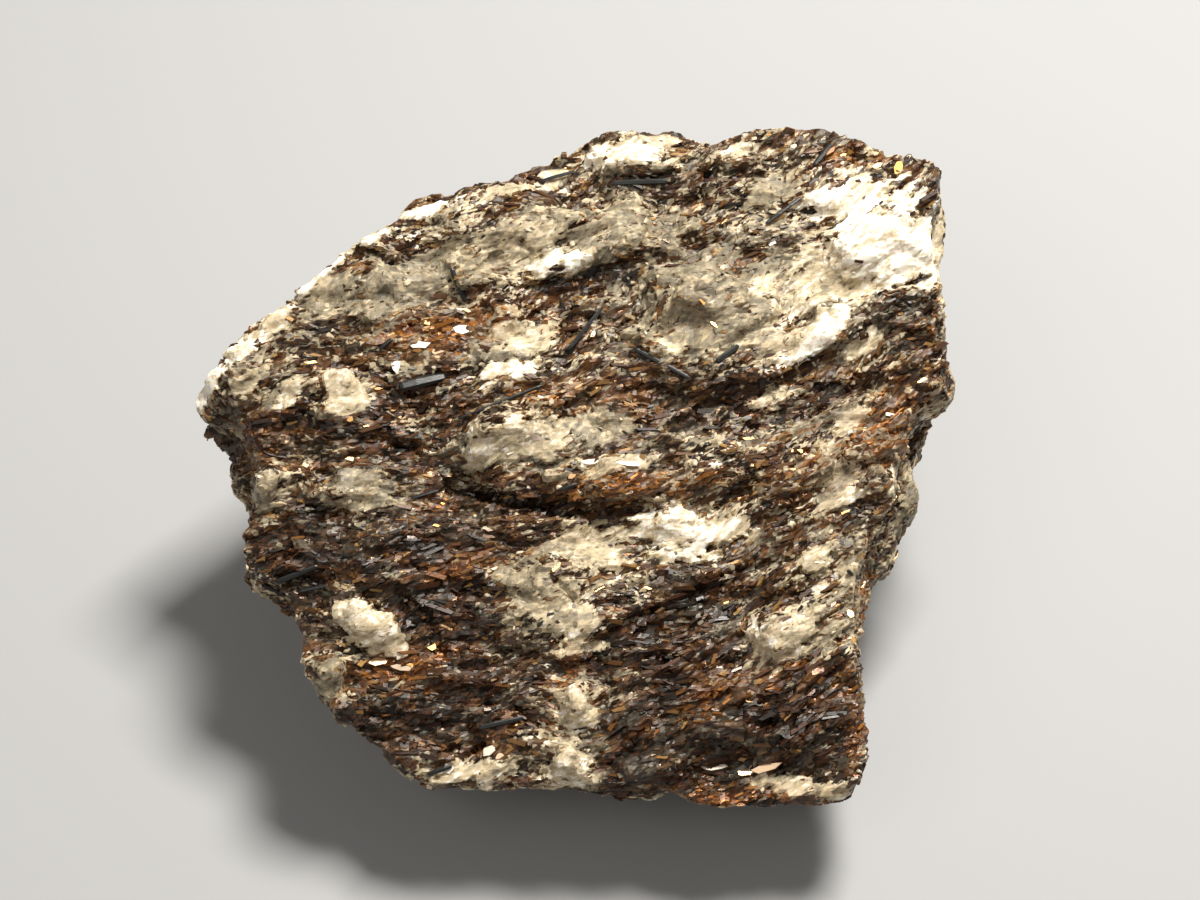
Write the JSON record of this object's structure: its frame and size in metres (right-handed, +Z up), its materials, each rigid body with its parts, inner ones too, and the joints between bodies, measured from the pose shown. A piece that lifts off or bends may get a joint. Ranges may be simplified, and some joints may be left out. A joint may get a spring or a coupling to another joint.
{
  "type": "astrophyllite cluster",
  "caption": "Broken hand specimen of foliated rock: bronze blades, cream feldspar and black needles grown together, a tilted rough face over walls that run in to a flat rest spot.",
  "frame": {"origin": "middle of the specimen's footprint, on the surface it rests on", "axes": "+Z up, +Y from the low front edge towards the high crest at the back, +X to the right along the broken face"},
  "size_m": [0.0622, 0.0558, 0.0303],
  "materials": {
    "speckled_stone": "rough broken rock, brown and cream speckle",
    "astrophyllite_blades": "dark bronze-brown, glittering cleavage",
    "feldspar_grains": "cream to grey, vitreous to dull",
    "aegirine_needles": "black with a blue-grey gloss"
  },
  "bodies": {
    "root": {"astrophyllite_cluster": "speckled_stone"}
  },
  "joints": []
}
